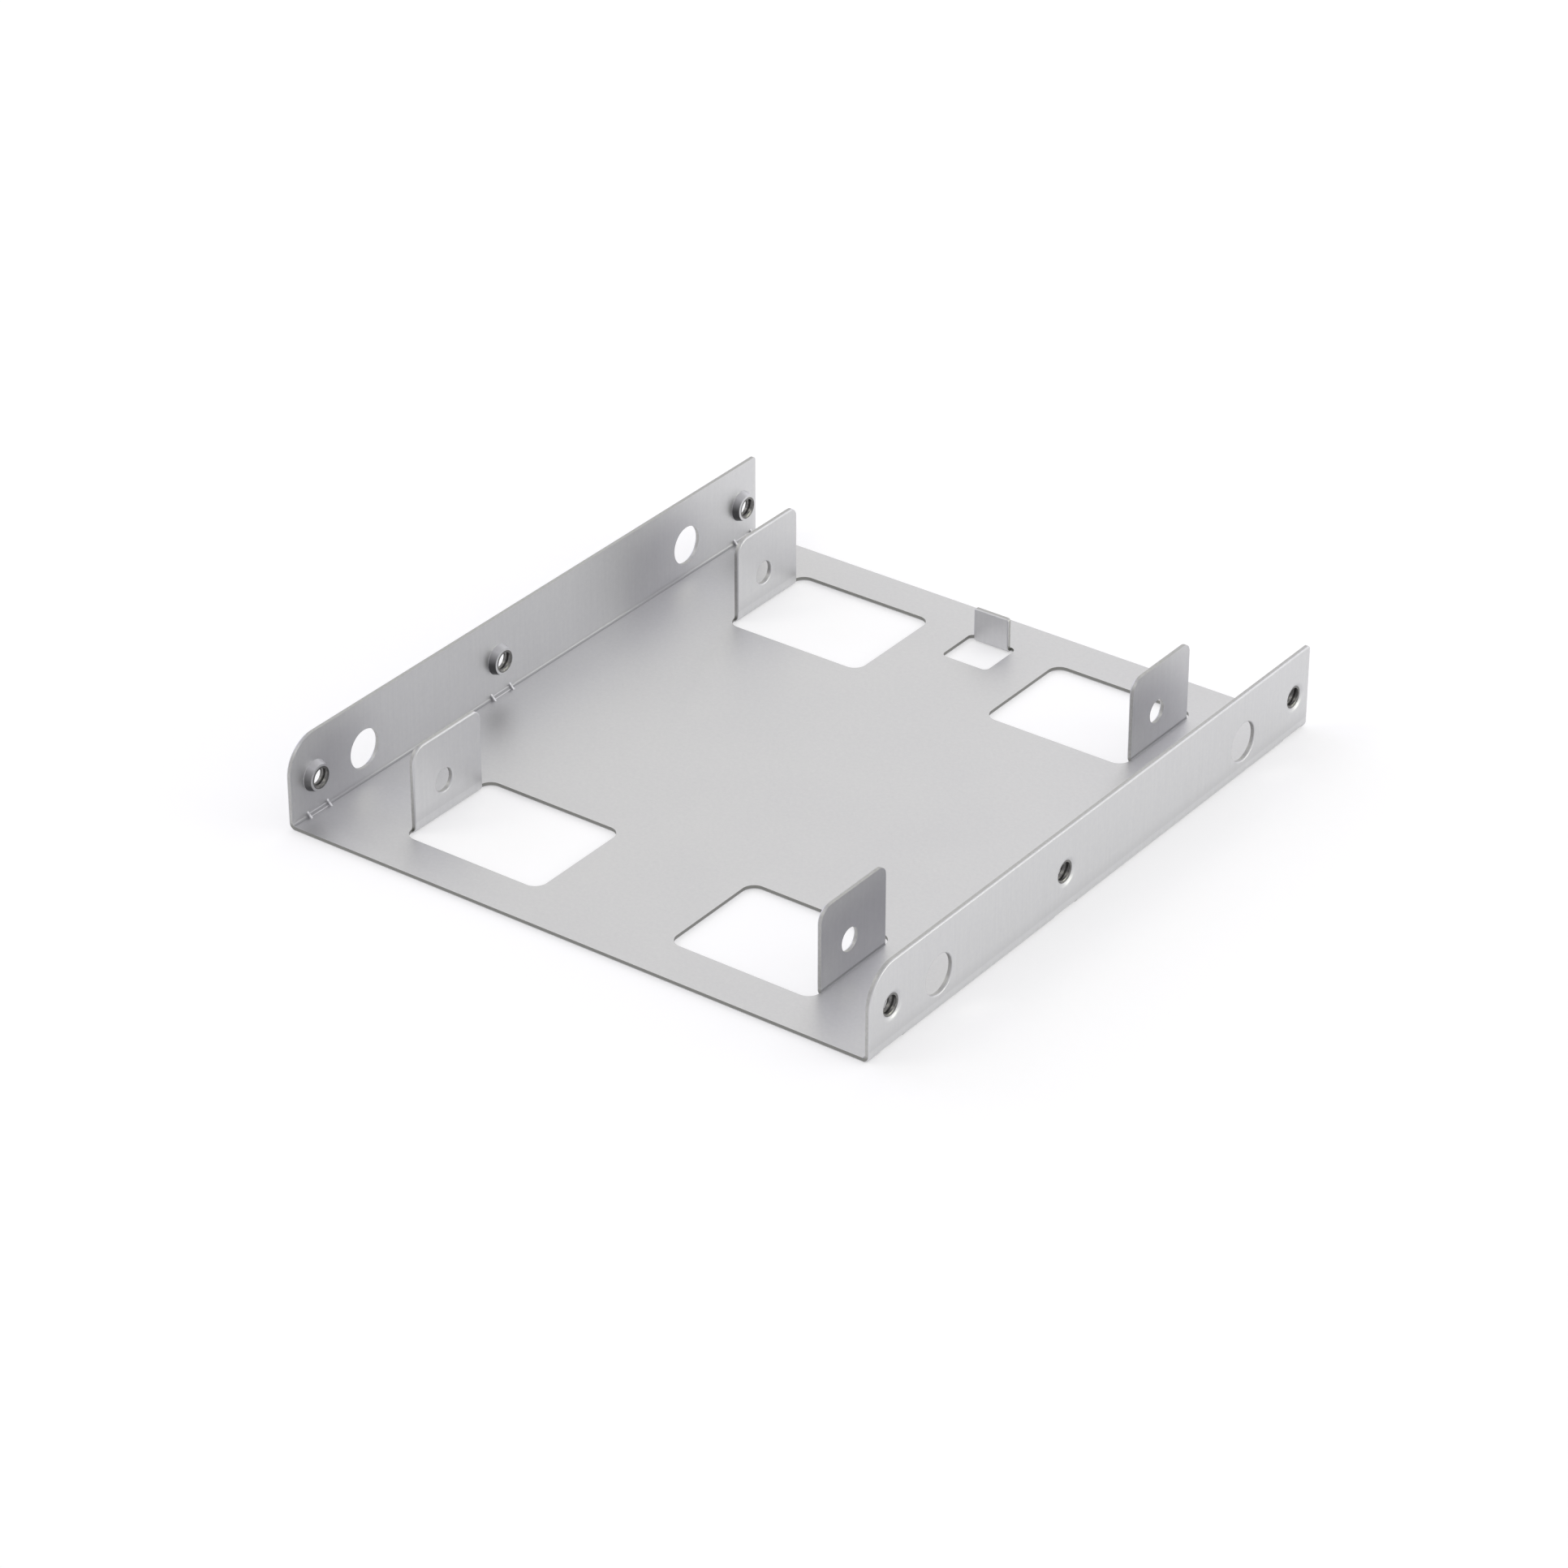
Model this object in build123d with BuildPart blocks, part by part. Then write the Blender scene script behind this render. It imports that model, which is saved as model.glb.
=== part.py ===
from build123d import *
import os

# Drive bay adapter bracket: one folded steel sheet that carries a 2.5 inch drive in a 3.5 inch bay.
# Millimetres. X across the tray, Y from front to rear, Z up. The origin is the centre of the
# tray's underside, which is the face that the bracket rests on.

# Sheet and folds
sheet = 0.7                      # thickness of the steel
flange_bend_radius = 0.4         # inside radius of the fold along each side
tongue_bend_radius = 0.2         # the ears and the stop are folded tighter

# Tray: a flat plate with a flange folded up along each side
width = 101.6                    # over the flanges, the width of a 3.5 inch drive
length = 110.5
flange_height = 13.8
front_corner_radius = 5.5        # large round at the front of each flange
rear_corner_radius = 0.5

# Ears that hold the 2.5 inch drive between them
ear_spacing = 70.5               # clear width between the ears: 69.85 for the drive, and room to slide it in
ear_width = 15.0
ear_height = 13.7
ear_front_radius = 2.4
ear_rear_radius = 1.6
drive_hole_pitch = 76.6          # from the front pair of drive screws, and ears, to the rear pair
ear_offset = 0.1                 # the two rows of ears lie this far behind the middle of the tray
screw_hole_offset = 0.9          # the screw hole is this far in front of the middle of its ear
screw_hole_height = 5.85
screw_hole_diameter = 3.7        # clears an M3 screw
access_hole_diameter = 6.2       # lets a screwdriver reach that screw through the flange

# Windows that the ears were cut from
window_length = 19.15
window_inner_edge = 11.45        # from the middle of the tray
window_radius = 2.0
window_outer_lap = 0.05          # the window ends this far inside the ear's outer face

# Tapped holes for the bay's side screws, in collars drawn inwards from the flanges
tapped_height = 6.7
front_tapped_inset = 5.2         # from the tray's front edge
rear_tapped_inset = 3.7          # from its rear edge, 101.6 from the front hole
middle_tapped_spacing = 60.0     # from the rear hole forward to the middle one
thread_diameter = 3.5            # 6-32 UNC, as a plain bore of the thread's major diameter
collar_diameter = 4.9            # at its root, on the flange's inner face
collar_height = 1.2
collar_draft = 16                # degrees that its wall leans in, down to a thin rim
entry_diameter = 4.8             # where the drawn sheet starts to roll in from the outer face
entry_depth = 0.3                # of that round, down to the bore

# Short ribs pressed into the fold below each tapped hole
rib_offset = 0.25                # the middle of the rib lies this far behind the hole
rib_length = 4.7
rib_leg = 0.45                   # of the raised inner face, along the plate and up the flange
rib_web_leg = 0.85               # each end of the rib stands up as a small web
rib_web_thickness = 0.4
rib_dent_length = 5.6            # of the dent that the rib leaves on the outer face
rib_dent_leg = 0.8

# Stop at the rear of the tray, folded from a small window
stop_width = 6.2
stop_height = 5.8
stop_corner_radius = 0.4
stop_window_width = 8.2
stop_window_length = 8.0
stop_window_radius = 0.9
drive_end_margin = 9.75          # from the rear drive screws to the drive's end, and the stop

# Places that follow from the sizes above
front = -length / 2
rear = length / 2
outer_flange_radius = flange_bend_radius + sheet
outer_tongue_radius = tongue_bend_radius + sheet
flange_inner = width / 2 - sheet
ear_face = ear_spacing / 2
ear_rows = (ear_offset - drive_hole_pitch / 2, ear_offset + drive_hole_pitch / 2)
window_outer_edge = ear_face + sheet - window_outer_lap
rear_tapped_row = rear - rear_tapped_inset
tapped_rows = (front + front_tapped_inset, rear_tapped_row - middle_tapped_spacing, rear_tapped_row)
stop_face = ear_rows[1] - screw_hole_offset + drive_end_margin
stop_fold_line = stop_face + outer_tongue_radius


def tongue_section(height):
    """Side view of a tongue folded up off the plate: x runs from its face into the plate, y up."""
    with BuildSketch() as section:
        with BuildLine():
            FilletPolyline(
                (outer_tongue_radius + sheet, 0),
                (0, 0),
                (0, height),
                radius=outer_tongue_radius,
            )
            offset(amount=sheet, side=Side.RIGHT)
        make_face()
    return section.sketch


# Ear: stands on the plate beside its window, with the round of the fold towards the drive
with BuildPart() as ear:
    with BuildSketch(Plane.XZ.offset(-ear_width / 2)):
        with Locations((ear_face, 0)):
            add(tongue_section(ear_height))
    extrude(amount=ear_width)
    top_edges = ear.edges().filter_by(Axis.X).group_by(Axis.Z)[-1].sort_by(Axis.Y)
    fillet(top_edges[0], ear_front_radius)
    fillet(top_edges[-1], ear_rear_radius)
    with BuildSketch(Plane.YZ.offset(ear_face)):
        with Locations((-screw_hole_offset, screw_hole_height)):
            Circle(screw_hole_diameter / 2)
    extrude(amount=sheet, mode=Mode.SUBTRACT)

# Stop: a low tongue across the middle of the tray, which the rear of the drive meets
with BuildPart() as stop:
    with BuildSketch(Plane.YZ.offset(-stop_width / 2)):
        with Locations((stop_face, 0)):
            add(tongue_section(stop_height))
    extrude(amount=stop_width)
    fillet(stop.edges().filter_by(Axis.Y).group_by(Axis.Z)[-1], stop_corner_radius)

# Tapped hole, as a body to be cut away: the round of its entry and the bore behind it
with BuildPart() as tapped_hole:
    entry_start = (width / 2, tapped_height + entry_diameter / 2)
    entry_end = (width / 2 - entry_depth, tapped_height + thread_diameter / 2)
    with BuildSketch(Plane.XZ):
        with BuildLine():
            TangentArc(entry_start, entry_end, tangent=(0, -1))
            Polyline(
                entry_end,
                (flange_inner - collar_height, tapped_height + thread_diameter / 2),
                (flange_inner - collar_height, tapped_height),
                (width / 2, tapped_height),
                entry_start,
            )
        make_face()
    revolve(axis=Axis((0, 0, tapped_height), (1, 0, 0)))

with BuildPart() as bracket:
    # Right half of the tray: plate, fold and flange
    with BuildSketch(Plane.XZ):
        with BuildLine():
            FilletPolyline(
                (0, 0),
                (width / 2, 0),
                (width / 2, flange_height),
                radius=outer_flange_radius,
            )
            offset(amount=sheet, side=Side.LEFT)
        make_face()
    extrude(amount=length / 2, both=True)
    flange_tops = bracket.edges().filter_by(Axis.X).group_by(Axis.Z)[-1].sort_by(Axis.Y)
    fillet(flange_tops[0], front_corner_radius)
    fillet(flange_tops[-1], rear_corner_radius)

    # Windows and the ears that were folded out of them
    with BuildSketch(Plane.XY):
        for row in ear_rows:
            with Locations(((window_inner_edge + window_outer_edge) / 2, row)):
                RectangleRounded(window_outer_edge - window_inner_edge, window_length, window_radius)
    extrude(amount=sheet, mode=Mode.SUBTRACT)
    with Locations(*[(0, row, 0) for row in ear_rows]):
        add(ear.part)

    # Screwdriver holes in line with the ears' screw holes
    with BuildSketch(Plane.YZ.offset(flange_inner)):
        with Locations(*[(row - screw_hole_offset, screw_hole_height) for row in ear_rows]):
            Circle(access_hole_diameter / 2)
    extrude(amount=sheet, mode=Mode.SUBTRACT)

    # Ribs across the fold, raised inside with a web at each end, and dented outside
    for row in tapped_rows:
        rib_middle = row + rib_offset
        web_middle = (rib_length - rib_web_thickness) / 2
        for middle, length_along, leg in (
            (rib_middle, rib_length, rib_leg),
            (rib_middle - web_middle, rib_web_thickness, rib_web_leg),
            (rib_middle + web_middle, rib_web_thickness, rib_web_leg),
        ):
            with BuildSketch(Plane.XZ.offset(-middle)):
                with BuildLine():
                    Polyline(
                        (width / 2, 0),
                        (flange_inner - leg, sheet),
                        (flange_inner, sheet + leg),
                        close=True,
                    )
                make_face()
            extrude(amount=length_along / 2, both=True)
        with BuildSketch(Plane.XZ.offset(-rib_middle)):
            with BuildLine():
                Polyline(
                    (width / 2, 0),
                    (width / 2 - rib_dent_leg, 0),
                    (width / 2, rib_dent_leg),
                    close=True,
                )
            make_face()
        extrude(amount=rib_dent_length / 2, both=True, mode=Mode.SUBTRACT)

    # Drawn and tapped collars
    with BuildSketch(Plane.YZ.offset(flange_inner)):
        with Locations(*[(row, tapped_height) for row in tapped_rows]):
            Circle(collar_diameter / 2)
    extrude(amount=-collar_height, taper=collar_draft)
    with Locations(*[(0, row, 0) for row in tapped_rows]):
        add(tapped_hole.part, mode=Mode.SUBTRACT)

    # The left half mirrors the right
    mirror(about=Plane.YZ)

    # Small window and stop in the middle of the rear
    with BuildSketch(Plane.XY):
        with Locations((0, stop_fold_line - stop_window_length / 2)):
            RectangleRounded(stop_window_width, stop_window_length, stop_window_radius)
    extrude(amount=sheet, mode=Mode.SUBTRACT)
    add(stop.part)

bracket.part.label = "folded_bracket"
os.makedirs("parts", exist_ok=True)
export_step(bracket.part, "parts/folded_bracket.step")
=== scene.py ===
# %% [markdown]
# A drive bay adapter bracket
#
# The bracket is one sheet of zinc plated steel. A press cut its outline, holes and windows, drew the
# collars, and folded the flanges, ears and stop out of the flat sheet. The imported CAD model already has
# that true shape. This lesson keeps it, rolls its cut edges, cuts the screw threads, and gives the steel
# its finish.

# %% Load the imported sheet
import math

import bmesh
import bpy
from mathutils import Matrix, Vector


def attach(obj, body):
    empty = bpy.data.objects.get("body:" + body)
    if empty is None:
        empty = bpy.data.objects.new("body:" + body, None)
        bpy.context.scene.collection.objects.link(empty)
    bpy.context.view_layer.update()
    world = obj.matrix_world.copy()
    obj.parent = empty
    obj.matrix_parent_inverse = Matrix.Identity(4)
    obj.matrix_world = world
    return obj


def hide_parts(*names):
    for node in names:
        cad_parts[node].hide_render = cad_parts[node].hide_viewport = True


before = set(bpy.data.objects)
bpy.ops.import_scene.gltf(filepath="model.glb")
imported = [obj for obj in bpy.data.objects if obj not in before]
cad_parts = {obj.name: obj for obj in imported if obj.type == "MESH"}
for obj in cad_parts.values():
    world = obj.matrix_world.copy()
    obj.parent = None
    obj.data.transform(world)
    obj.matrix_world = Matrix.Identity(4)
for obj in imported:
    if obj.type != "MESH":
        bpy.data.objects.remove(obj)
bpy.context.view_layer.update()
mm = 0.001
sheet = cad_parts["folded_bracket"]


# %% [markdown]
# The camera
#
# The photograph was taken with a long lens from the front right, about 31 degrees above the floor. A
# camera is easiest to place by a point it looks at, because its turn then follows from two points. The
# same helper will turn the lamps later.

# %% Place the camera
def link_to_scene(thing):
    bpy.context.scene.collection.objects.link(thing)
    return thing


def point_at(thing, target):
    """Turns a camera or a lamp from where it is towards the target."""
    thing.rotation_euler = (target - thing.location).to_track_quat("-Z", "Y").to_euler()


photo_camera = link_to_scene(bpy.data.objects.new("photo_camera", bpy.data.cameras.new("photo_camera")))
photo_camera.data.sensor_width = 36.0
photo_camera.data.lens = 122.19
photo_camera.data.clip_start = 0.01
photo_camera.data.dof.use_dof = False
photo_camera.location = Vector((389.80, -535.06, 395.05)) * mm
aim = Vector((-1.39, -3.42, 0.0)) * mm
point_at(photo_camera, aim)
bpy.context.scene.camera = photo_camera
print("camera is", round((aim - photo_camera.location).length / mm), "mm from the point that it looks at")

# %% [markdown]
# Working by hand in code
#
# Blender's modelling operators act on whatever is selected, and the loaded sheet arrives selected. Small
# helpers keep that in order. Some open a piece for editing with nothing, everything or only some faces
# selected. Others test a face by its plane, or find the middle of an edge.

# %% Helpers for opening a piece
def clear_selection():
    if bpy.context.object and bpy.context.object.mode != "OBJECT":
        bpy.ops.object.mode_set(mode="OBJECT")
    bpy.ops.object.select_all(action="DESELECT")


def take(piece):
    clear_selection()
    piece.select_set(True)
    bpy.context.view_layer.objects.active = piece


def open_whole(piece):
    """Leaves the piece in edit mode with all of it selected."""
    take(piece)
    bpy.ops.object.mode_set(mode="EDIT")
    bpy.ops.mesh.select_all(action="SELECT")


def open_for_edges(piece):
    """Leaves the piece in edit mode, picking by edges, with nothing selected."""
    take(piece)
    bpy.ops.object.mode_set(mode="EDIT")
    bpy.ops.mesh.select_mode(type="EDGE")
    bpy.ops.mesh.select_all(action="DESELECT")


def close_piece():
    bpy.ops.object.mode_set(mode="OBJECT")


def name_piece(name):
    piece = bpy.context.object
    piece.name = piece.data.name = name
    return piece


def mesh_size(piece):
    return f"{len(piece.data.vertices)} vertices, {len(piece.data.polygons)} faces"


print("selected after loading:", [thing.name for thing in bpy.context.selected_objects])
clear_selection()

# %% Helpers for picking faces and edges
X, Y, Z = range(3)
same_place = 0.001 * mm
square_on = 0.999


def select_faces(piece, test):
    """Leaves the piece in edit mode with the faces that pass the test selected."""
    take(piece)
    bpy.ops.object.mode_set(mode="EDIT")
    bpy.ops.mesh.select_mode(type="FACE")
    bpy.ops.mesh.select_all(action="DESELECT")
    close_piece()
    count = 0
    for face in piece.data.polygons:
        face.select = test(face)
        count += face.select
    bpy.ops.object.mode_set(mode="EDIT")
    return count


def select_open_edges(loose_too):
    """Selects the edges round each hole of the mesh, and on request its loose edges."""
    bpy.ops.mesh.select_non_manifold(
        extend=False,
        use_wire=loose_too,
        use_boundary=True,
        use_multi_face=False,
        use_non_contiguous=False,
        use_verts=False,
    )


def on_plane(axis, place):
    """A test for faces that lie flat on a plane square to the axis."""
    return lambda face: (
        abs(face.center[axis] - place) < same_place and abs(face.normal[axis]) > square_on
    )


def edge_middle(edge):
    return (edge.verts[0].co + edge.verts[1].co) / 2


on_floor = on_plane(Z, 0.0)
print("faces on the floor:", sum(on_floor(face) for face in sheet.data.polygons))

# %% [markdown]
# A copy of the sheet to finish
#
# The CAD sheet has knife sharp edges. On the real one the press pushed the metal over as it cut, so the
# outer face rolls softly into each cut edge, while the inner face ends sharp. That roll catches the
# light all along the flanges and ears. The CAD piece is kept as it is and hidden, so the sheet is copied,
# the copy's loose triangles are merged, and the copy is finished in its place.

# %% Copy and merge the sheet
flat_angle = math.radians(0.6)
folded_sheet = sheet.copy()
folded_sheet.data = sheet.data.copy()
folded_sheet.name = folded_sheet.data.name = "folded_sheet"
link_to_scene(folded_sheet)
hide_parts("folded_bracket")
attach(folded_sheet, "root")
open_whole(folded_sheet)
bpy.ops.mesh.remove_doubles(threshold=same_place)
bpy.ops.mesh.customdata_custom_splitnormals_clear()
bpy.ops.mesh.dissolve_limited(angle_limit=flat_angle, delimit={"NORMAL"})
close_piece()
print("merged sheet:", mesh_size(folded_sheet))

# %% [markdown]
# A clean border for the flat faces
#
# A roll needs room beside each edge. The flat faces of a CAD export are cut into long slivers that end
# at the edges, and a bevel would fold them over. So each flat outer face is inset by a hair more than
# the roll, its middle is deleted, and the hole is filled afresh.

# %% Give the outer flat faces a border
edge_roll = 0.2 * mm
border_width = 1.05 * edge_roll
outer_x = 50.8 * mm
inner_x = 50.1 * mm
ear_inner_x = 35.25 * mm
ear_outer_x = 35.95 * mm
ear_rows = (-38.2 * mm, 38.4 * mm)
ear_reach = 10 * mm
stop_front_y = 47.25 * mm
stop_rear_y = 47.95 * mm
plate_top = 0.7 * mm


def border(piece, test):
    count = select_faces(piece, test)
    bpy.ops.mesh.inset(thickness=border_width, depth=0, use_even_offset=True)
    bpy.ops.mesh.delete(type="FACE")
    bpy.ops.mesh.select_mode(type="EDGE")
    select_open_edges(loose_too=True)
    bpy.ops.mesh.fill(use_beauty=True)
    close_piece()
    return count


def on_ear(place, row):
    """A test for the faces of one ear that lie on the plane x = place."""
    on_side = on_plane(X, place)
    return lambda face: on_side(face) and abs(face.center.y - row) < ear_reach


flat_faces = [on_floor, on_plane(Y, stop_front_y)]
for side in (1, -1):
    flat_faces.append(on_plane(X, side * outer_x))
    flat_faces += [on_ear(side * ear_inner_x, row) for row in ear_rows]
for flat_face in flat_faces:
    print("bordered a flat face of", border(folded_sheet, flat_face), "pieces")
open_whole(folded_sheet)
bpy.ops.mesh.normals_make_consistent(inside=False)
close_piece()

# %% [markdown]
# Skin and cut faces
#
# The faces that the mill plated and the faces that the press cut differ: skin is smooth and pale, a cut
# face is torn and darker. The skin is found as a finger would trace it, from one flat face across each
# soft fold to the next, up to a sharp edge. All that is left over is cut. The walls of the tapped bores
# get a finish of their own, and the collars and ribs, which have sharp edges too, are skin again.

# %% Tests for the collars and the ribs
tapped_rows = (-50.05 * mm, -8.45 * mm, 51.55 * mm)
tapped_height = 6.7 * mm
bore_radius = 1.75 * mm
collar_reach = 2.6 * mm
collar_start_x = 48.8 * mm
rib_offset = 0.25 * mm
rib_reach = 2.9 * mm
rib_start_x = 48.9 * mm
rib_top = 1.9 * mm
slack = 0.01 * mm


def from_bore(point):
    """How far a point lies from the axis of the nearest tapped hole."""
    return min(math.hypot(point.y - row, point.z - tapped_height) for row in tapped_rows)


def in_collar(point):
    return collar_start_x < abs(point.x) < inner_x + slack and from_bore(point) < collar_reach


def in_fold_rib(point):
    from_rib = min(abs(point.y - row - rib_offset) for row in tapped_rows)
    return abs(point.x) > rib_start_x and point.z < rib_top and from_rib < rib_reach


for title, test in (("collars", in_collar), ("ribs", in_fold_rib)):
    print("faces of the", title + ":", sum(test(face.center) for face in folded_sheet.data.polygons))

# %% Sort the faces
SKIN, CUT, BORE = range(3)
sharp_angle = math.radians(35)
most_wall_lean = 0.3


def select_skin(planes):
    """Selects the faces on the planes, and all that runs on from them with no sharp edge between."""
    seeds = select_faces(folded_sheet, lambda face: any(test(face) for test in planes))
    bpy.ops.mesh.faces_select_linked_flat(sharpness=sharp_angle)
    return seeds


skin_planes = [on_floor, on_plane(Z, plate_top), on_plane(Y, stop_front_y), on_plane(Y, stop_rear_y)]
for side in (1, -1):
    for place in (outer_x, inner_x, ear_inner_x, ear_outer_x):
        skin_planes.append(on_plane(X, side * place))
seeds = select_skin(skin_planes)
close_piece()
counts = [0, 0, 0]
for face in folded_sheet.data.polygons:
    bore_wall = abs(face.normal.x) < most_wall_lean and from_bore(face.center) < bore_radius + slack
    if bore_wall and abs(face.center.x) > collar_start_x:
        finish = BORE
    elif face.select or in_fold_rib(face.center) or in_collar(face.center):
        finish = SKIN
    else:
        finish = CUT
    face.material_index = finish
    counts[finish] += 1
print("skin, cut and bore faces:", counts, "from", seeds, "seeds")

# %% [markdown]
# The rolled edges
#
# Only the outer skin rolls: the underside, the outer faces of the flanges, and the faces of the ears and
# the stop that were the underside before they were folded up. The outline of that skin is found as the
# loop around it, and a bevel of three steps makes a round of it. Three kinds of edge stay sharp, because
# no press cut them or there is no room for a roll: the bores, the dents under the ribs, and the thin lip
# below each ear.

# %% Roll the outline of the outer skin
flange_start_x = 50 * mm
bore_edge_reach = 2.0 * mm
dent_start_x = 49.4 * mm
dent_top = 1.2 * mm
lip_x = 35.9 * mm
lip_top = 0.05 * mm
lip_reach = 7.52 * mm


def stays_sharp(point):
    at_bore = abs(point.x) > flange_start_x and from_bore(point) < bore_edge_reach
    at_dent = abs(point.x) > dent_start_x and point.z < dent_top and in_fold_rib(point)
    low_at_ear = abs(abs(point.x) - lip_x) < slack and point.z < lip_top
    at_lip = low_at_ear and any(abs(point.y - row) < lip_reach for row in ear_rows)
    return at_bore or at_dent or at_lip


outer_planes = [on_floor, on_plane(Y, stop_front_y)]
outer_planes += [on_plane(X, side * place) for side in (1, -1) for place in (outer_x, ear_inner_x)]
select_skin(outer_planes)
bpy.ops.mesh.region_to_loop()
outline = bmesh.from_edit_mesh(folded_sheet.data)
for edge in outline.edges:
    if edge.select and stays_sharp(edge_middle(edge)):
        edge.select_set(False)
outline.select_flush_mode()
bmesh.update_edit_mesh(folded_sheet.data)
print("outline edges:", sum(edge.select for edge in outline.edges))
bpy.ops.mesh.bevel(offset=edge_roll, segments=3, affect="EDGES", clamp_overlap=False, material=SKIN)
close_piece()

# %% [markdown]
# Softer ribs
#
# The short ribs below the tapped holes stiffen the fold. A punch pushed them into the sheet, and metal
# that is pushed keeps no sharp corner. The inner side of the ribs is made of a few flat faces, so the
# ridges between those faces get a small bevel. The valleys stay as they are. Last, the points that
# rounding left a hair below the floor go back up to it, and the whole sheet gets its smooth shading.

# %% Soften the ribs
rib_round = 0.09 * mm
ridge_angle = math.radians(40)
shading_angle = math.radians(34)
open_for_edges(folded_sheet)
ribs = bmesh.from_edit_mesh(folded_sheet.data)
for edge in ribs.edges:
    middle = edge_middle(edge)
    inside = abs(middle.x) < inner_x - slack and middle.z > plate_top + slack and in_fold_rib(middle)
    if inside and edge.calc_face_angle_signed() > ridge_angle:
        edge.select_set(True)
bmesh.update_edit_mesh(folded_sheet.data)
print("rib edges:", sum(edge.select for edge in ribs.edges))
bpy.ops.mesh.bevel(offset=rib_round, segments=2, affect="EDGES", clamp_overlap=True, material=SKIN)
close_piece()
below = [vertex for vertex in folded_sheet.data.vertices if vertex.co.z < 0]
for vertex in below:
    vertex.co.z = 0
print("vertices brought back up to the floor:", len(below))
bpy.ops.object.shade_smooth_by_angle(angle=shading_angle)
print("finished sheet:", mesh_size(folded_sheet))

# %% [markdown]
# Painted shade on the collars
#
# Each collar is painted darker on its front and lower side, as painted shade. The shade could be placed by
# Object coordinates, but there are six collars, each round a centre of its own. So every point on a collar
# keeps one number, which is one where the collar faces the front and falls to zero at its sides. The
# finish reads that number as an attribute.

# %% Write the painted shade on the collars
shade_inner_reach = 1.8 * mm
shade_end_x = 50.2 * mm
shade_forward, shade_down = 0.97, 0.25
# Painted shade: each collar is darker on its front and lower side.
collar_shade_attribute = folded_sheet.data.attributes.new(name="painted_collar_shade", type="FLOAT", domain="POINT")
for vertex in folded_sheet.data.vertices:
    row = min(tapped_rows, key=lambda place: abs(vertex.co.y - place))
    forward, down = row - vertex.co.y, tapped_height - vertex.co.z
    reach = math.hypot(forward, down)
    on_collar = collar_start_x < abs(vertex.co.x) < shade_end_x and shade_inner_reach < reach < collar_reach
    if on_collar:
        collar_shade_attribute.data[vertex.index].value = max(0.0, (shade_forward * forward + shade_down * down) / reach)
print("points with painted collar shade:", sum(point.value > 0 for point in collar_shade_attribute.data))

# %% [markdown]
# The screw threads
#
# Each tapped collar carries an inch thread with 32 turns to the inch. The CAD model has plain bores,
# because a fine thread is a finish more than a form. A thread is one profile that climbs in a helix, so
# the Screw modifier sweeps it round the hole. The profile starts as a circle of five points, which are
# moved to the flanks, crest and root of one turn.

# %% Sweep the thread
pitch = 25.4 / 32 * mm
crest_radius = 1.42 * mm
root_radius = 1.735 * mm
thread_turns = 4
thread_steps = 48
sweep_start = 48.2 * mm
profile = [
    (root_radius, 0.0),
    (crest_radius, 0.24),
    (crest_radius, 0.63),
    (root_radius, 0.87),
    (root_radius, 1.0),
]

clear_selection()
bpy.ops.mesh.primitive_circle_add(
    vertices=len(profile), radius=pitch, fill_type="NOTHING", location=(0, 0, 0)
)
lining = name_piece("thread_lining")
for vertex, (radius, turn) in zip(lining.data.vertices, profile):
    vertex.co = (radius, 0, turn * pitch)
open_for_edges(lining)
close_piece()
for edge in lining.data.edges:
    edge.select = set(edge.vertices) == {0, len(profile) - 1}
bpy.ops.object.mode_set(mode="EDIT")
bpy.ops.mesh.delete(type="EDGE")
close_piece()
screw = lining.modifiers.new("helix", "SCREW")
screw.axis = "Z"
screw.angle = math.tau
screw.screw_offset = pitch
screw.iterations = thread_turns
screw.steps = thread_steps
screw.render_steps = thread_steps
screw.use_merge_vertices = False
bpy.ops.object.modifier_apply(modifier=screw.name)
lining.rotation_euler = (0, math.radians(90), 0)
lining.location = (sweep_start, 0, 0)
bpy.ops.object.transform_apply(location=True, rotation=True, scale=True)
print("swept thread:", mesh_size(lining))

# %% [markdown]
# A closed lining
#
# The swept thread is an open ribbon, longer than the collar is deep. Both ends are cut flat, just inside
# the collar's rim and the flange's outer face. Each cut end is then extruded and pushed out to a circle
# inside the wall, and the two circles are bridged, which makes a closed lining for the bore.

# %% Cut its ends flat and close it
lining_radius = 1.80 * mm
thread_inner_end = 48.93 * mm
thread_outer_end = 50.47 * mm
cut_tolerance = 0.0001 * mm
open_whole(lining)
bpy.ops.mesh.remove_doubles(threshold=same_place)
for place, normal in ((thread_outer_end, (1, 0, 0)), (thread_inner_end, (-1, 0, 0))):
    bpy.ops.mesh.select_all(action="SELECT")
    bpy.ops.mesh.bisect(plane_co=(place, 0, 0), plane_no=normal, clear_outer=True, threshold=cut_tolerance)
bpy.ops.mesh.select_mode(type="EDGE")
bpy.ops.mesh.select_all(action="DESELECT")
select_open_edges(loose_too=False)
bpy.ops.mesh.extrude_edges_move()
rim = bmesh.from_edit_mesh(lining.data)
for vertex in rim.verts:
    if vertex.select:
        reach = math.hypot(vertex.co.y, vertex.co.z)
        vertex.co.y *= lining_radius / reach
        vertex.co.z *= lining_radius / reach
bmesh.update_edit_mesh(lining.data)
bpy.ops.mesh.bridge_edge_loops()
bpy.ops.mesh.select_all(action="SELECT")
bpy.ops.mesh.normals_make_consistent(inside=False)
close_piece()
bpy.ops.object.shade_smooth_by_angle(angle=sharp_angle)
print("closed lining:", mesh_size(lining))

# %% [markdown]
# One lining for each collar
#
# The same tap cut all six holes from the outside, so the threads are alike, and those on the left flange
# are turned half round rather than mirrored, because a mirrored thread would wind the wrong way.

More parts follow.
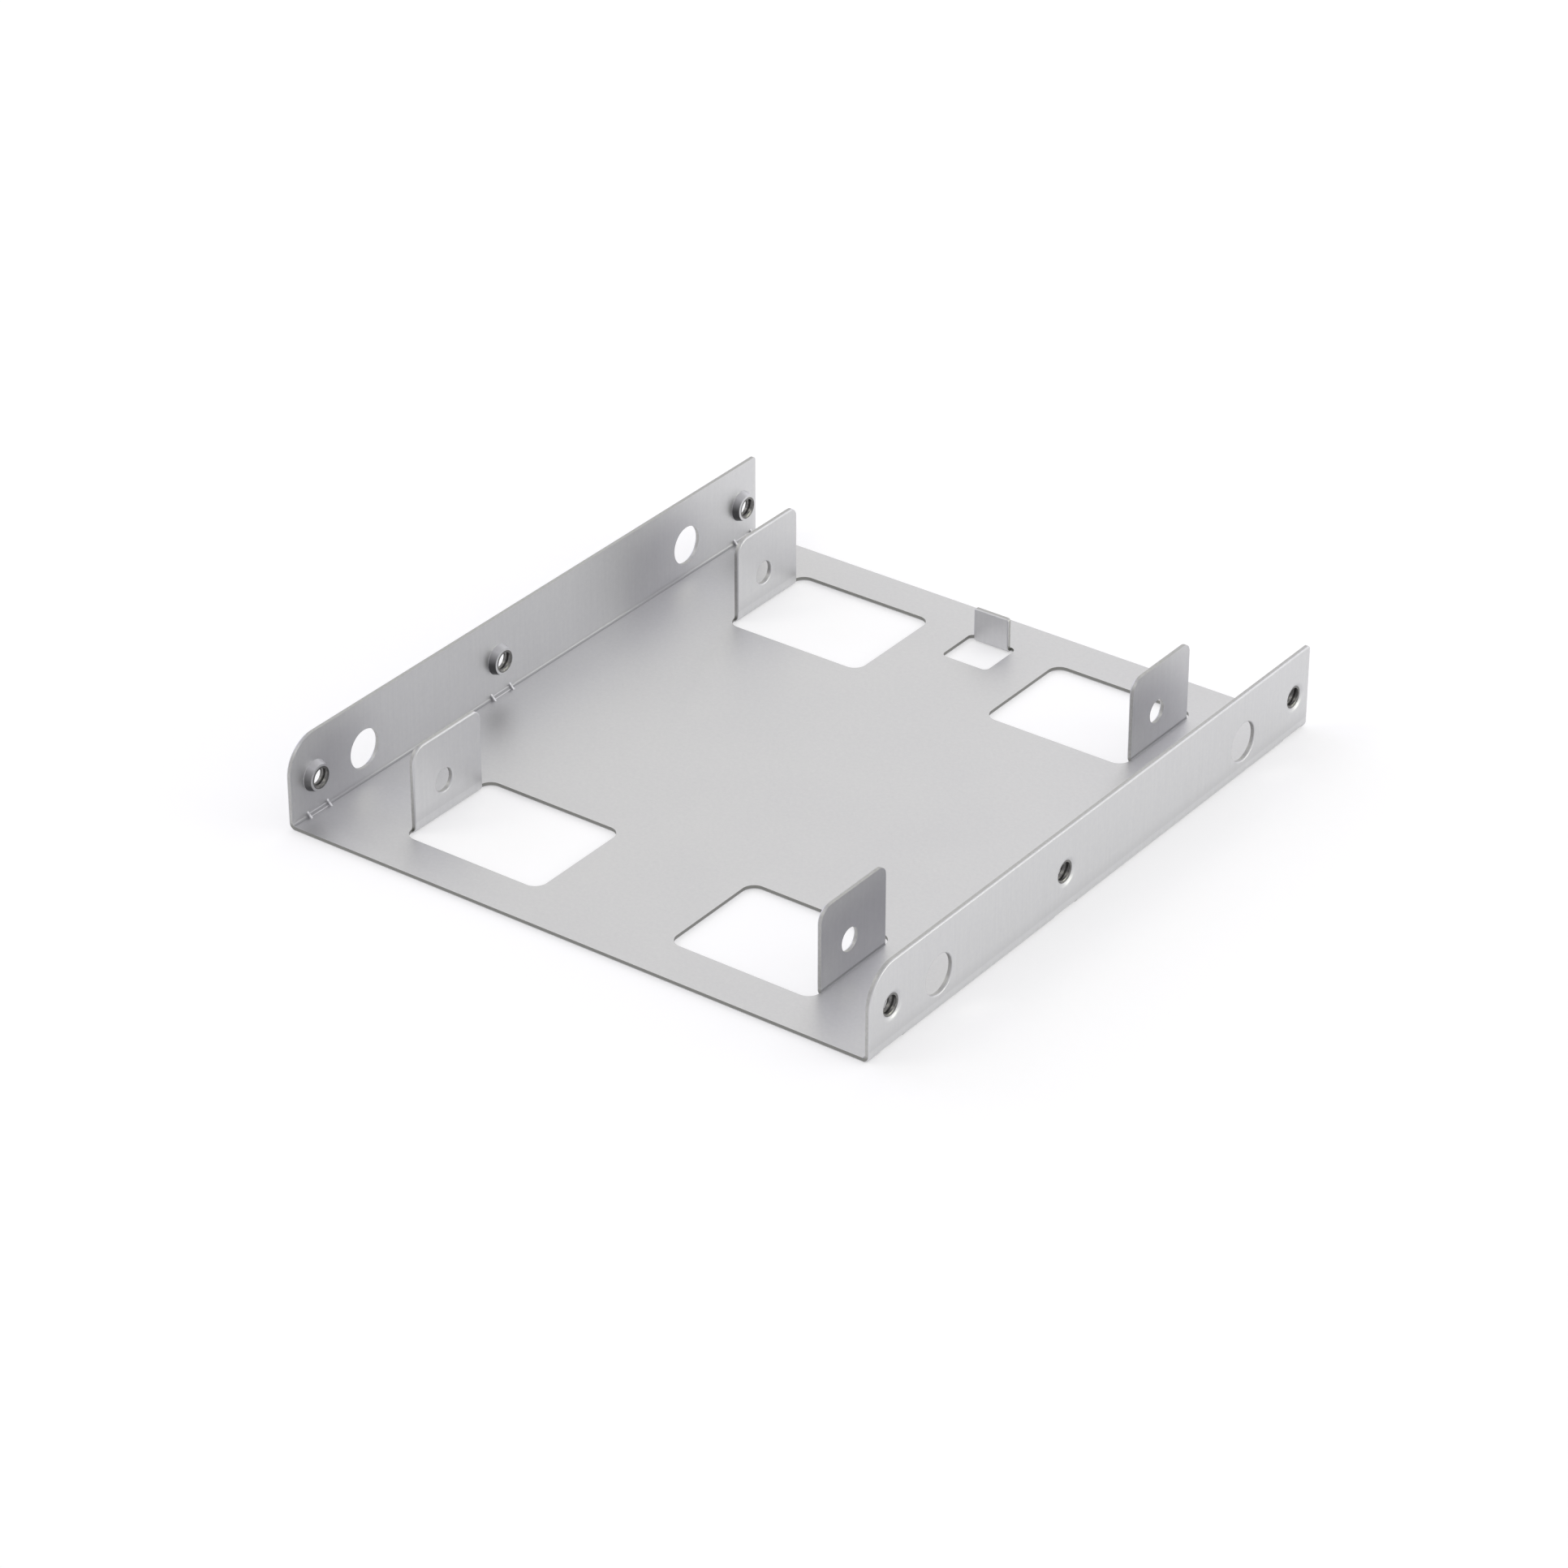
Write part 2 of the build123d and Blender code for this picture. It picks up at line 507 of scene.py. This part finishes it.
# %% Copy the lining to all six collars
threads = []
for side, turn in (("right", 0.0), ("left", math.pi)):
    for place, row in zip(("front", "middle", "rear"), tapped_rows):
        thread = lining.copy()
        thread.data = lining.data.copy()
        thread.name = thread.data.name = f"{side}_{place}_thread"
        link_to_scene(thread)
        take(thread)
        thread.rotation_euler = (0, 0, turn)
        thread.location = (0, row, tapped_height)
        bpy.ops.object.transform_apply(location=True, rotation=True, scale=True)
        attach(thread, "root")
        threads.append(thread)
bpy.data.objects.remove(lining)
print("threads:", [thread.name for thread in threads])

# %% [markdown]
# Building a finish from nodes
#
# A finish here is a Principled shader with patterns of nodes in front of its sockets. Adding each node
# by hand takes many lines, so a helper for each kind adds it, sets it and returns the output to go on
# with. All patterns are on Object coordinates, so they stay with the metal.

# %% Helpers for patterns
def object_coordinates(tree):
    return tree.nodes.new("ShaderNodeTexCoord").outputs["Object"]


def object_axes(tree):
    """The X, Y and Z of each point of the surface, in metres."""
    split = tree.nodes.new("ShaderNodeSeparateXYZ")
    tree.links.new(object_coordinates(tree), split.inputs["Vector"])
    return split.outputs


def add_noise(tree, scale, detail, roughness, stretch=(1, 1, 1)):
    mapping = tree.nodes.new("ShaderNodeMapping")
    mapping.inputs["Scale"].default_value = stretch
    noise = tree.nodes.new("ShaderNodeTexNoise")
    noise.inputs["Scale"].default_value = scale
    noise.inputs["Detail"].default_value = detail
    noise.inputs["Roughness"].default_value = roughness
    tree.links.new(object_coordinates(tree), mapping.inputs["Vector"])
    tree.links.new(mapping.outputs["Vector"], noise.inputs["Vector"])
    return noise.outputs["Fac"]


def to_range(tree, value, low, high, start=0.3, stop=0.7):
    """Turns values from start to stop into low to high. A noise lies mostly between 0.3 and 0.7."""
    ranger = tree.nodes.new("ShaderNodeMapRange")
    ranger.inputs["From Min"].default_value = start
    ranger.inputs["From Max"].default_value = stop
    ranger.inputs["To Min"].default_value = low
    ranger.inputs["To Max"].default_value = high
    tree.links.new(value, ranger.inputs["Value"])
    return ranger.outputs["Result"]


def calculate(tree, operation, *values):
    node = tree.nodes.new("ShaderNodeMath")
    node.operation = operation
    for place, value in enumerate(values):
        if isinstance(value, (int, float)):
            node.inputs[place].default_value = value
        else:
            tree.links.new(value, node.inputs[place])
    return node.outputs["Value"]


def band(tree, value, low, high, soft_low, soft_high):
    """One between low and high, and zero outside, with a soft edge of its own width at each end."""
    rise = to_range(tree, value, low=0, high=1, start=low - soft_low, stop=low)
    fall = to_range(tree, value, low=1, high=0, start=high, stop=high + soft_high)
    return calculate(tree, "MULTIPLY", rise, fall)


# %% Helpers for finishes
def new_material(name, metallic=0.0):
    material = bpy.data.materials.new(name)
    material.use_nodes = True
    material.node_tree.nodes.clear()
    shader = material.node_tree.nodes.new("ShaderNodeBsdfPrincipled")
    shader.inputs["Metallic"].default_value = metallic
    output = material.node_tree.nodes.new("ShaderNodeOutputMaterial")
    material.node_tree.links.new(shader.outputs["BSDF"], output.inputs["Surface"])
    return material, shader, output


def mix_colour(tree, factor, first, second):
    """Mixes two colours, each written as a tuple or taken from another node."""
    mixer = tree.nodes.new("ShaderNodeMix")
    mixer.data_type = "RGBA"
    tree.links.new(factor, mixer.inputs[0])
    for place, colour in ((6, first), (7, second)):
        if isinstance(colour, tuple):
            mixer.inputs[place].default_value = (*colour, 1)
        else:
            tree.links.new(colour, mixer.inputs[place])
    return mixer.outputs[2]


def speckle(tree, noise, dark, pale):
    return mix_colour(tree, to_range(tree, noise, low=0, high=1), dark, pale)


def lay_over(tree, colour, mark, strength, mark_colour):
    """Lays a mark over a colour, at most as strongly as strength says."""
    return mix_colour(tree, calculate(tree, "MULTIPLY", mark, strength), colour, mark_colour)


# %% [markdown]
# The zinc plated finish
#
# Zinc plating leaves a pale grey satin metal: it reflects, but blurs what it reflects. Seen close it is
# faintly mottled, because the crystals of the coating grow in patches, and faint streaks run down the
# flanges where they slid past the die. A metallic Principled shader gives the reflection. A noise in
# small patches and a stretched one in streaks vary its colour, a noise in broad clouds varies its
# roughness, and a very fine one breaks up the highlights as a bump.

# %% Mix the zinc
zinc, zinc_shader, _ = new_material("zinc_plated_steel", metallic=1.0)
tree = zinc.node_tree
patches = add_noise(tree, scale=1400, detail=4, roughness=0.6)
clouds = add_noise(tree, scale=60, detail=3, roughness=0.5)
grain = add_noise(tree, scale=5200, detail=2, roughness=0.6)
streaks = add_noise(tree, scale=2600, detail=2, roughness=0.5, stretch=(1, 1, 0.04))
zinc_colour = speckle(tree, patches, dark=(0.62, 0.62, 0.632), pale=(0.645, 0.645, 0.652))
streak_grey = (0.53, 0.53, 0.54)
zinc_colour = mix_colour(tree, to_range(tree, streaks, low=0.16, high=0), zinc_colour, streak_grey)
zinc_roughness = to_range(tree, clouds, low=0.43, high=0.47)
bump = tree.nodes.new("ShaderNodeBump")
bump.inputs["Strength"].default_value = 0.12
bump.inputs["Distance"].default_value = 0.02 * mm
tree.links.new(grain, bump.inputs["Height"])
tree.links.new(bump.outputs["Normal"], zinc_shader.inputs["Normal"])
print("zinc before its marks:", len(tree.nodes), "nodes")

# %% [markdown]
# Painted shade along the folds
#
# A soft dark line is painted just above each fold, on the outer faces of the flanges and on the ears'
# faces towards the drive, as painted shade. Inside a fold the plating is crushed and dull, which the added
# roughness shows, and its colour is darkened there as painted shade. Both marks are found by their height
# and their distance from the middle of the tray, which are the Z and X of the Object coordinates. The
# painted shade on the collars comes on top.

# %% Paint the shade along the folds and on the collars
axes = object_axes(tree)
height = axes["Z"]
away = calculate(tree, "ABSOLUTE", axes["X"])
on_flange = band(tree, away, low=50.75 * mm, high=52 * mm, soft_low=0.04 * mm, soft_high=1 * mm)
on_ear_face = band(tree, away, low=35.2 * mm, high=35.3 * mm, soft_low=0.1 * mm, soft_high=0.1 * mm)
# Painted shade: a soft dark line just above each fold.
fold_line_shade_height = band(tree, height, low=1.95 * mm, high=2.15 * mm, soft_low=0.15 * mm, soft_high=1.6 * mm)
fold_line_shade = calculate(tree, "MULTIPLY", fold_line_shade_height, calculate(tree, "MAXIMUM", on_flange, on_ear_face))
zinc_colour = lay_over(tree, zinc_colour, fold_line_shade, strength=0.25, mark_colour=(0.46, 0.46, 0.47))

# Painted shade inside each fold, and added roughness for the dull crushed plating.
beside_flange = band(tree, away, low=49.74 * mm, high=49.95 * mm, soft_low=0.05 * mm, soft_high=0.2 * mm)
below_flange = to_range(tree, height, low=1, high=0, start=1.0 * mm, stop=1.4 * mm)
flange_fold = calculate(tree, "MULTIPLY", beside_flange, below_flange)
beside_ear = band(tree, away, low=35.93 * mm, high=36.3 * mm, soft_low=0.02 * mm, soft_high=0.1 * mm)
below_ear = band(tree, height, low=0.72 * mm, high=1.0 * mm, soft_low=0.018 * mm, soft_high=0.2 * mm)
ear_fold = calculate(tree, "MULTIPLY", beside_ear, below_ear)
fold_shade_and_dullness = calculate(tree, "MAXIMUM", flange_fold, ear_fold)
zinc_colour = lay_over(tree, zinc_colour, fold_shade_and_dullness, strength=0.5, mark_colour=(0.38, 0.38, 0.39))
fold_dullness = 0.35
zinc_roughness = calculate(tree, "MULTIPLY_ADD", fold_shade_and_dullness, fold_dullness, zinc_roughness)

# The painted shade on the front and lower side of each collar.
collar_shade_node = tree.nodes.new("ShaderNodeAttribute")
collar_shade_node.attribute_name = collar_shade_attribute.name
collar_shade_front = to_range(tree, collar_shade_node.outputs["Fac"], low=0, high=1, start=0.3, stop=0.95)
on_cone = band(tree, away, low=48.97 * mm, high=50.0 * mm, soft_low=0.05 * mm, soft_high=0.08 * mm)
collar_shade_mask = calculate(tree, "MULTIPLY", collar_shade_front, on_cone)
zinc_colour = lay_over(tree, zinc_colour, collar_shade_mask, strength=0.85, mark_colour=(0.06, 0.06, 0.06))
tree.links.new(zinc_colour, zinc_shader.inputs["Base Color"])
tree.links.new(zinc_roughness, zinc_shader.inputs["Roughness"])
print("zinc with its marks:", len(tree.nodes), "nodes")

# %% [markdown]
# Cut steel and tapped steel
#
# A cut face shows the bare steel, torn by the press, so it is darker than the plating and speckled. Round
# the plate, whose cut faces lie against the floor, it is painted darker still, as painted shade. The bores
# are painted dark as shade, and are a little smoother. Each gets a metal of its own with one fine noise in
# its colour, because at their size nothing more would be seen.

# %% Mix the cut steel and the tapped steel
cut_steel, cut_shader, _ = new_material("cut_steel", metallic=1.0)
tree = cut_steel.node_tree
torn = add_noise(tree, scale=2600, detail=3, roughness=0.6)
cut_colour = speckle(tree, torn, dark=(0.43, 0.43, 0.42), pale=(0.505, 0.505, 0.495))
# Painted shade: the cut faces round the plate, next to the floor, are darker.
plate_edge_shade = to_range(tree, object_axes(tree)["Z"], low=1, high=0, start=0.7 * mm, stop=1.2 * mm)
plate_edge_shade_grey = (0.275, 0.275, 0.26)
cut_colour = mix_colour(tree, plate_edge_shade, cut_colour, plate_edge_shade_grey)
tree.links.new(cut_colour, cut_shader.inputs["Base Color"])
cut_shader.inputs["Roughness"].default_value = 0.5

shade_dark_tapped_steel, tapped_shader, _ = new_material("shade_dark_tapped_steel", metallic=1.0)
tree = shade_dark_tapped_steel.node_tree
# Painted shade: the bores are coloured dark for the shade inside them.
bore_speckle = add_noise(tree, scale=3000, detail=3, roughness=0.6)
bore_shade_colour = speckle(tree, bore_speckle, dark=(0.14, 0.14, 0.135), pale=(0.25, 0.245, 0.24))
tree.links.new(bore_shade_colour, tapped_shader.inputs["Base Color"])
tapped_shader.inputs["Roughness"].default_value = 0.35
print("metals:", [metal.name for metal in (zinc, cut_steel, shade_dark_tapped_steel)])

# %% Dress the pieces
folded_sheet.data.materials[SKIN] = zinc
folded_sheet.data.materials.append(cut_steel)
folded_sheet.data.materials.append(shade_dark_tapped_steel)
for thread in threads:
    thread.data.materials.clear()
    thread.data.materials.append(shade_dark_tapped_steel)
print("sheet wears", [metal.name for metal in folded_sheet.data.materials])

# %% [markdown]
# The floor
#
# The bracket lies on a white sweep. A pale sweep that is lit evenly still looks grey around the bracket,
# so it also glows a little, for the camera and for every reflection alike, and the bracket's shadow stays,
# but faint. More lamps would whiten the floor too, but they would bleach the steel.

# %% Lay the floor
floor_size = 6.0
floor_gap = 0.02 * mm
floor_grey = 0.66
floor_glow = 0.38
clear_selection()
bpy.ops.mesh.primitive_plane_add(size=floor_size, location=(0, 0, -floor_gap))
floor = name_piece("studio_floor")
sweep, sweep_shader, sweep_output = new_material("white_sweep")
sweep_shader.inputs["Base Color"].default_value = (floor_grey, floor_grey, floor_grey, 1)
sweep_shader.inputs["Roughness"].default_value = 0.9
tree = sweep.node_tree
path = tree.nodes.new("ShaderNodeLightPath")
reflected = calculate(tree, "MAXIMUM", path.outputs["Is Glossy Ray"], path.outputs["Is Transmission Ray"])
seen = calculate(tree, "MAXIMUM", path.outputs["Is Camera Ray"], reflected)
glow = tree.nodes.new("ShaderNodeEmission")
tree.links.new(calculate(tree, "MULTIPLY", seen, floor_glow), glow.inputs["Strength"])
both = tree.nodes.new("ShaderNodeAddShader")
tree.links.new(sweep_shader.outputs["BSDF"], both.inputs[0])
tree.links.new(glow.outputs["Emission"], both.inputs[1])
tree.links.new(both.outputs["Shader"], sweep_output.inputs["Surface"])
floor.data.materials.append(sweep)
print("floor:", floor_size, "m wide,", round(floor_gap / mm, 2), "mm below the bracket")

# %% [markdown]
# World and lamps
#
# Steel this smooth has hardly a colour of its own: each face shows what it reflects. A plain world gives
# most of the light, and soft lamps stand for the studio's diffusers. Those behind and to the sides shape
# the greys of the plate, the flanges and the ears, each from its own direction.

# %% Set the world
world = bpy.data.worlds.new("studio")
bpy.context.scene.world = world
world.use_nodes = True
world.node_tree.nodes.clear()
background = world.node_tree.nodes.new("ShaderNodeBackground")
world_output = world.node_tree.nodes.new("ShaderNodeOutputWorld")
background.inputs["Color"].default_value = (0.975, 0.965, 1, 1)
background.inputs["Strength"].default_value = 0.74
world.node_tree.links.new(background.outputs["Background"], world_output.inputs["Surface"])
print("world strength:", round(background.inputs["Strength"].default_value, 2))

# %% Hang the lamps
def soft_lamp(name, place, size, watts, colour):
    """Hangs a square or oblong diffuser, turned towards the bracket."""
    lamp = link_to_scene(bpy.data.objects.new(name, bpy.data.lights.new(name, "AREA")))
    lamp.data.shape = "RECTANGLE"
    lamp.data.size, lamp.data.size_y = size
    lamp.data.energy = watts
    lamp.data.color = colour
    lamp.location = place
    point_at(lamp, Vector((0, 0, 0)))
    print(name, "gives", watts, "watts")


soft_lamp("left_diffuser", place=(-1.4, 0, 0.6), size=(1.0, 1.0), watts=3.2, colour=(0.75, 0.75, 1.0))
soft_lamp("back_left_diffuser", place=(-0.9, 0.9, 0.8), size=(1.0, 1.0), watts=1.0, colour=(1.0, 1.0, 0.82))
soft_lamp("back_high_diffuser", place=(-0.3, 0.9, 1.2), size=(0.8, 0.8), watts=0.6, colour=(1.0, 1.0, 0.9))
soft_lamp("back_diffuser", place=(0, 1.4, 0.6), size=(1.0, 1.0), watts=3.0, colour=(0.93, 0.93, 1.0))
soft_lamp("back_right_diffuser", place=(0.9, 0.9, 0.8), size=(1.0, 1.0), watts=2.1, colour=(1.0, 1.0, 1.0))
soft_lamp("right_diffuser", place=(1.5, 0.6, 0.25), size=(1.0, 0.4), watts=5.0, colour=(0.97, 1.0, 0.85))
soft_lamp("front_left_diffuser", place=(-0.8, -0.8, 1.1), size=(0.6, 0.6), watts=2.1, colour=(1.0, 1.0, 0.9))

# %% [markdown]
# The last look
#
# The Standard view shows colours as they are mixed.

# %% Set the view
bpy.context.scene.view_settings.view_transform = "Standard"
